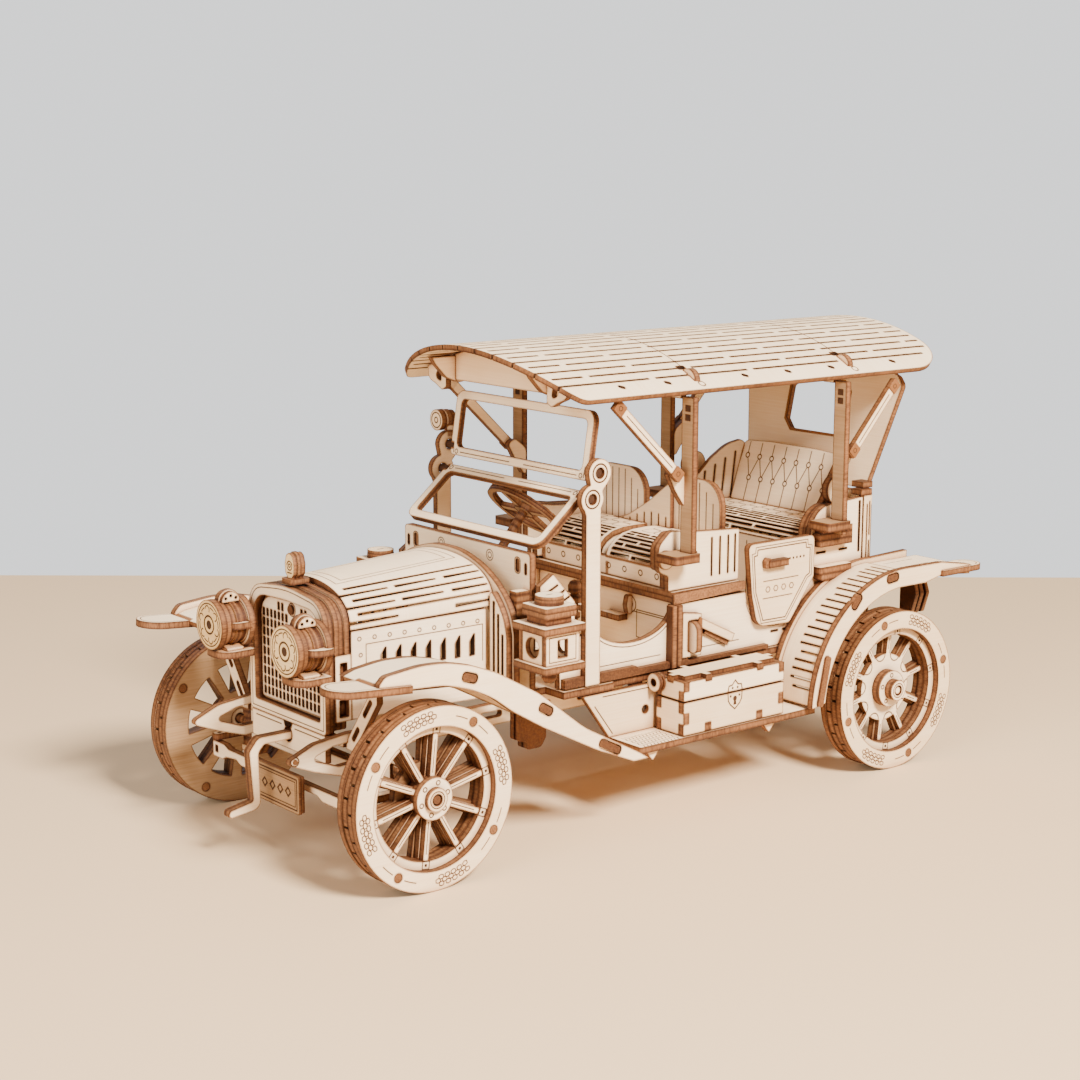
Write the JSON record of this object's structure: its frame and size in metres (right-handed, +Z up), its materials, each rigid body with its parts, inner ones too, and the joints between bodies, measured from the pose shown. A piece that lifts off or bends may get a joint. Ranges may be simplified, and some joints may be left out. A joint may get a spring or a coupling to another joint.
{
  "type": "wooden jigsaw model car",
  "caption": "Laser-cut plywood construction kit of an open vintage touring car with canopy roof, steering, folding windshield, doors and crank.",
  "frame": {"origin": "on the ground, under the middle of the car's length and width", "axes": "+X to the tail of the car, so the radiator faces -X; -Y is the car's left side; +Z up"},
  "size_m": [0.2972, 0.13, 0.163],
  "materials": {
    "pale_ply": "raw basswood plywood faces with laser-browned edges",
    "golden_ply": "slightly yellower plywood, laser-browned edges",
    "toasted_ply": "plywood with browned, engraved face"
  },
  "bodies": {
    "body": {"chassis_frame": "pale_ply", "front_axle": "pale_ply", "floor_pan": "pale_ply", "radiator_shell": "pale_ply", "radiator_grille": "pale_ply", "radiator_cap": "golden_ply", "hood_top": "pale_ply", "hood_side_left": "pale_ply", "hood_side_right": "pale_ply", "cowl_hoop": "pale_ply", "cowl": "pale_ply", "body_side_left": "pale_ply", "body_side_right": "pale_ply", "rear_body_panel": "pale_ply", "front_seat_base": "pale_ply", "front_seat": "pale_ply", "rear_seat": "pale_ply", "back_panel": "pale_ply", "roof_canopy": "pale_ply", "roof_header": "pale_ply", "roof_bow_mid": "pale_ply", "roof_bow_rear": "pale_ply", "windshield_post_left": "pale_ply", "windshield_post_right": "pale_ply", "mid_post_left": "pale_ply", "mid_post_right": "pale_ply", "rear_post_left": "pale_ply", "rear_post_right": "pale_ply", "front_fender_left": "pale_ply", "front_fender_right": "pale_ply", "rear_fender_left": "pale_ply", "rear_fender_right": "pale_ply", "running_board_left": "pale_ply", "running_board_right": "pale_ply", "toolbox": "pale_ply", "headlamp_left": "golden_ply", "headlamp_right": "golden_ply", "lantern_left": "pale_ply", "lantern_right": "pale_ply", "number_plate": "toasted_ply", "rear_axle": "pale_ply"},
    "knuckle_left": {"knuckle_left": "pale_ply"},
    "front_wheel_left": {"tyre_front_left": "pale_ply", "spokes_front_left": "pale_ply"},
    "rear_wheel_left": {"tyre_rear_left": "pale_ply", "spokes_rear_left": "pale_ply"},
    "rear_door_left": {"rear_door_left": "pale_ply"},
    "knuckle_right": {"knuckle_right": "pale_ply"},
    "front_wheel_right": {"tyre_front_right": "pale_ply", "spokes_front_right": "pale_ply"},
    "rear_wheel_right": {"tyre_rear_right": "pale_ply", "spokes_rear_right": "pale_ply"},
    "rear_door_right": {"rear_door_right": "pale_ply"},
    "tie_rod": {"tie_rod": "toasted_ply"},
    "steering_wheel": {"steering_wheel": "pale_ply"},
    "hand_crank": {"hand_crank": "pale_ply"},
    "windshield_lower": {"windshield_lower": "pale_ply"},
    "windshield_upper": {"windshield_upper": "pale_ply"},
    "toolbox_lid": {"toolbox_lid": "pale_ply"},
    "hand_lever": {"hand_lever": "pale_ply"}
  },
  "joints": [
    {"name": "steering_turn", "type": "hinge", "parent": "body", "child": "steering_wheel", "pos_m": [-0.009, 0.0205, 0.0985], "axis": [0.6428, 0, 0.766], "range_deg": [-90, 90]},
    {"name": "steer_left", "type": "hinge", "parent": "body", "child": "knuckle_left", "pos_m": [-0.11085, -0.046, 0.03], "axis": [0, 0, 1], "range_deg": [-22, 22]},
    {"name": "front_wheel_spin_left", "type": "hinge", "parent": "knuckle_left", "child": "front_wheel_left", "pos_m": [-0.11085, -0.0589, 0.03], "axis": [0, 1, 0], "continuous": true},
    {"name": "rear_wheel_spin_left", "type": "hinge", "parent": "body", "child": "rear_wheel_left", "pos_m": [0.10085, -0.0589, 0.03], "axis": [0, 1, 0], "continuous": true},
    {"name": "steer_right", "type": "hinge", "parent": "body", "child": "knuckle_right", "pos_m": [-0.11085, 0.046, 0.03], "axis": [0, 0, 1], "range_deg": [-22, 22]},
    {"name": "front_wheel_spin_right", "type": "hinge", "parent": "knuckle_right", "child": "front_wheel_right", "pos_m": [-0.11085, 0.0589, 0.03], "axis": [0, 1, 0], "continuous": true},
    {"name": "rear_wheel_spin_right", "type": "hinge", "parent": "body", "child": "rear_wheel_right", "pos_m": [0.10085, 0.0589, 0.03], "axis": [0, 1, 0], "continuous": true},
    {"name": "tie_rod_slide", "type": "slide", "parent": "body", "child": "tie_rod", "axis": [0, 1, 0], "range_m": [-0.0055, 0.0055]},
    {"name": "crank_spin", "type": "hinge", "parent": "body", "child": "hand_crank", "pos_m": [-0.13, 0, 0.039], "axis": [1, 0, 0], "continuous": true},
    {"name": "windshield_lower_lift", "type": "hinge", "parent": "body", "child": "windshield_lower", "pos_m": [-0.0308, 0, 0.1134], "axis": [0, 1, 0], "range_deg": [0, 20]},
    {"name": "windshield_upper_fold", "type": "hinge", "parent": "body", "child": "windshield_upper", "pos_m": [-0.0276, 0, 0.122], "axis": [0, -1, 0], "range_deg": [0, 80]},
    {"name": "toolbox_lid_open", "type": "hinge", "parent": "body", "child": "toolbox_lid", "pos_m": [0.021, -0.0474, 0.047], "axis": [-1, 0, 0], "range_deg": [0, 60]},
    {"name": "rear_door_left_swing", "type": "hinge", "parent": "body", "child": "rear_door_left", "pos_m": [0.0423, -0.0438, 0.073], "axis": [0, 0, -1], "range_deg": [0, 60]},
    {"name": "rear_door_right_swing", "type": "hinge", "parent": "body", "child": "rear_door_right", "pos_m": [0.0423, 0.0438, 0.073], "axis": [0, 0, 1], "range_deg": [0, 60]},
    {"name": "hand_lever_tilt", "type": "hinge", "parent": "body", "child": "hand_lever", "pos_m": [-0.027, -0.03, 0.05], "axis": [0, 1, 0], "range_deg": [-15, 15]}
  ],
  "couplings": [
    {"joint": "steer_right", "follows": "steer_left", "ratio": 1},
    {"joint": "steering_turn", "follows": "steer_left", "ratio": 4},
    {"joint": "tie_rod_slide", "follows": "steer_left", "m_per_rad": -0.01315}
  ]
}
